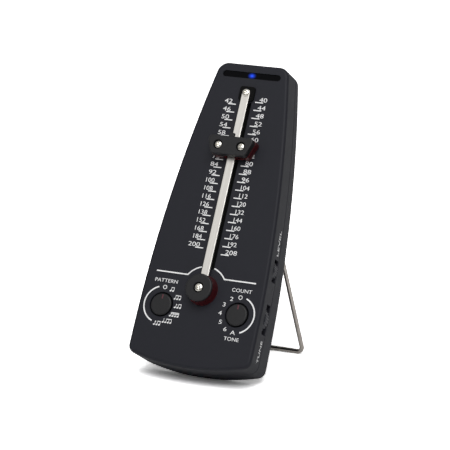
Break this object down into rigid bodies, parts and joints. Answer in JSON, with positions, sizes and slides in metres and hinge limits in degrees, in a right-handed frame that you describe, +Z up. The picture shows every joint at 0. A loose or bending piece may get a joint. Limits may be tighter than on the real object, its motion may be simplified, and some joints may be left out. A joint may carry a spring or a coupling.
{
  "type": "metronome",
  "caption": "Electronic metronome in a leaning wedge case, with a sliding tempo weight on a fixed bar, rotary dials, side thumbwheels, a lamp strip and a folding wire stand.",
  "frame": {"origin": "on the floor under the middle of the object's bounding box, with the stand open", "axes": "+Z up, front of the case towards -Y, +X to the right of a person who faces it"},
  "size_m": [0.0671, 0.094, 0.1459],
  "materials": {
    "case_plastic": "fine moulded satin, charcoal",
    "black_plastic": "moulded satin, black",
    "red_plastic": "moulded, deep red",
    "nickel_bar": "nickel plate, brushed along",
    "nickel_screw": "nickel plate, polished",
    "stand_wire": "drawn wire, nickel plate",
    "steel": "zinc plate",
    "tinted_window": "smoke tinted, polished",
    "lamp_lit": "lit blue lamp",
    "lamp_clear": "unlit clear lamp",
    "board": "solder mask",
    "contact_brass": "bright",
    "speaker_metal": "satin",
    "cell_jacket": "printed film, plain"
  },
  "bodies": {
    "case": {"front_shell": "case_plastic", "rear_shell": "case_plastic", "case_screws": "steel", "main_board": "board", "board_screws": "steel", "led_centre": "lamp_lit", "led_row": "lamp_clear", "led_window": "tinted_window", "pendulum_rod": "nickel_bar", "rod_top_screw": "nickel_screw", "hub_base": "red_plastic", "hub_cap": "black_plastic", "hub_screw": "nickel_screw", "volume_pot": "black_plastic", "accent_pot": "black_plastic", "wheel_rivets": "steel", "speaker": "speaker_metal", "speaker_ring": "black_plastic", "battery_cell_1": "cell_jacket", "battery_cell_2": "cell_jacket", "battery_cell_3": "cell_jacket", "battery_contacts": "contact_brass"},
    "weight": {"slider_base": "red_plastic", "slider_cap": "black_plastic", "slider_screws": "nickel_screw", "slider_carriage": "black_plastic", "slider_wiper": "contact_brass"},
    "rhythm_dial": {"rhythm_knob": "black_plastic", "rhythm_wiper": "contact_brass"},
    "beats_dial": {"beats_knob": "black_plastic", "beats_wiper": "contact_brass"},
    "volume_thumbwheel": {"volume_wheel": "black_plastic"},
    "accent_thumbwheel": {"accent_wheel": "black_plastic"},
    "stand": {"wire_stand": "stand_wire"},
    "door": {"battery_door": "case_plastic"}
  },
  "joints": [
    {"name": "weight_slide", "type": "slide", "parent": "case", "child": "weight", "axis": [0, 0.512, 0.859], "range_m": [-0.05785, 0.0209]},
    {"name": "rhythm_turn", "type": "hinge", "parent": "case", "child": "rhythm_dial", "pos_m": [-0.0206, -0.03225, 0.03607], "axis": [0, -0.859, 0.512], "range_deg": [-180, 0]},
    {"name": "beats_turn", "type": "hinge", "parent": "case", "child": "beats_dial", "pos_m": [0.0206, -0.03225, 0.03607], "axis": [0, -0.859, 0.512], "range_deg": [0, 180]},
    {"name": "volume_turn", "type": "hinge", "parent": "case", "child": "volume_thumbwheel", "pos_m": [0.02681, -0.01234, 0.05424], "axis": [0, -0.859, 0.512], "range_deg": [-140, 140]},
    {"name": "accent_turn", "type": "hinge", "parent": "case", "child": "accent_thumbwheel", "pos_m": [0.02581, -0.02504, 0.03294], "axis": [0, -0.859, 0.512], "range_deg": [-140, 140]},
    {"name": "stand_fold", "type": "hinge", "parent": "case", "child": "stand", "pos_m": [0, 0.01358, 0.07196], "axis": [-1, 0, 0], "range_deg": [0, 36.89]},
    {"name": "door_swing", "type": "hinge", "parent": "case", "child": "door", "pos_m": [0, -0.02088, 0.01141], "axis": [-1, 0, 0], "range_deg": [0, 60]}
  ]
}
